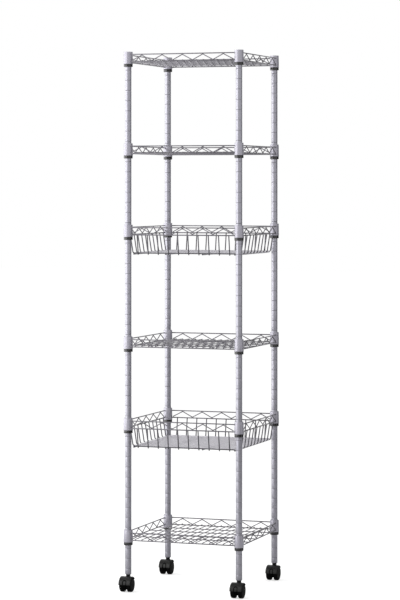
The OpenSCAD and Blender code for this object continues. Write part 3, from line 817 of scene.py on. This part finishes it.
far = studio["floorHalf"]
floorMesh = bpy.data.meshes.new("floor")
floorMesh.from_pydata([(-far, -far, 0), (far, -far, 0), (far, far, 0), (-far, far, 0)], [], [(0, 1, 2, 3)])
floor = bpy.data.objects.new("floor", floorMesh)
bpy.context.scene.collection.objects.link(floor)
# A roll of white paper, matt. The eye sees it as white as the world. A reflection sees it darker near the
# object, where a painted shadow takes down its glow.
paper = bpy.data.materials.new("whitePaperRoll")
paper.use_nodes = True
tree = paper.node_tree
tree.nodes.clear()
matte = addNode(tree, "ShaderNodeBsdfDiffuse", {"Color": (studio["floorWhite"],) * 3 + (1,)})
lift = addNode(tree, "ShaderNodeMapRange", {"To Min": 0.0, "To Max": studio["floorLift"]},
               {"Value": seenDirectly(tree)})
away = addNode(tree, "ShaderNodeVectorMath", {"operation": "LENGTH"})
tree.links.new(addNode(tree, "ShaderNodeTexCoord").outputs["Object"], away.inputs[0])
fade = addNode(tree, "ShaderNodeMapRange", {"From Min": studio["paintedShadeNear"], "From Max": studio["paintedShadeFar"]},
               {"Value": away.outputs["Value"]})
reflected = addNode(tree, "ShaderNodeLightPath").outputs["Is Glossy Ray"]
mirrorOnly = addNode(tree, "ShaderNodeMapRange", {"To Min": 1.0},
                     {"Value": reflected, "To Max": fade.outputs["Result"]})
shadedGlow = addNode(tree, "ShaderNodeMath", {"operation": "MULTIPLY"})
tree.links.new(lift.outputs["Result"], shadedGlow.inputs[0])
tree.links.new(mirrorOnly.outputs["Result"], shadedGlow.inputs[1])
glow = addNode(tree, "ShaderNodeEmission", {}, {"Strength": shadedGlow.outputs[0]})
both = addNode(tree, "ShaderNodeAddShader")
tree.links.new(matte.outputs[0], both.inputs[0])
tree.links.new(glow.outputs[0], both.inputs[1])
addNode(tree, "ShaderNodeOutputMaterial", {}, {"Surface": both.outputs[0]})
floorMesh.materials.append(paper)


def softbox(name, turn, distance, height, width, tall, power):
    # A lamp at an angle from the camera's side of the object, counted to the left, facing the object's
    # middle: x = distance sin(camera's turn - turn), y = -distance cos of the same
    a = math.radians(camera["turn"] - turn)
    place = np.array([math.sin(a) * distance, -math.cos(a) * distance, height])
    lamp = bpy.data.lights.new(name, "AREA")
    lamp.shape = "RECTANGLE"
    lamp.size, lamp.size_y = width, tall
    lamp.energy = power
    box = bpy.data.objects.new(name, lamp)
    box.location = place
    aim = np.array([0, 0, studio["aimHeight"]]) - place
    tilt, heading = math.atan2(math.hypot(aim[0], aim[1]), -aim[2]), math.atan2(aim[1], aim[0])
    box.rotation_euler = (tilt, 0, heading - math.pi / 2)
    bpy.context.scene.collection.objects.link(box)


softbox("keySoftbox", turn=60, distance=2.6, height=1.35, width=2.0, tall=2.6, power=studio["keyPower"])
softbox("rimSoftbox", turn=108, distance=2.6, height=1.35, width=2.0, tall=2.6, power=studio["rimPower"])
softbox("topSoftbox", turn=20, distance=2.2, height=3.0, width=1.6, tall=1.2, power=studio["topPower"])


def greyCard(name, turn, distance, width, tall, shade):
    # A matt grey card that stands beside the object, counted to the left as the softboxes are, and that only
    # reflections see
    a = math.radians(camera["turn"] - turn)
    card = bpy.data.meshes.new(name)
    card.from_pydata([(-width / 2, 0, 0), (width / 2, 0, 0), (width / 2, 0, tall), (-width / 2, 0, tall)],
                     [], [(0, 1, 2, 3)])
    stand = bpy.data.objects.new(name, card)
    stand.location = (math.sin(a) * distance, -math.cos(a) * distance, 0)
    stand.rotation_euler = (0, 0, a)
    felt = bpy.data.materials.new(name + "Felt")
    felt.use_nodes = True
    felt.node_tree.nodes.clear()
    dull = addNode(felt.node_tree, "ShaderNodeBsdfDiffuse", {"Color": (shade,) * 3 + (1,)})
    addNode(felt.node_tree, "ShaderNodeOutputMaterial", {}, {"Surface": dull.outputs[0]})
    card.materials.append(felt)
    stand.visible_camera = False
    stand.visible_shadow = False
    stand.visible_diffuse = False  # so that the floor stays white at its foot
    bpy.context.scene.collection.objects.link(stand)


greyCard("rightCard", turn=-108, distance=1.3, width=1.5, tall=1.9, shade=0.2)
greyCard("lowCard", turn=-35, distance=1.7, width=1.6, tall=0.6, shade=0.25)
print("studio lit")
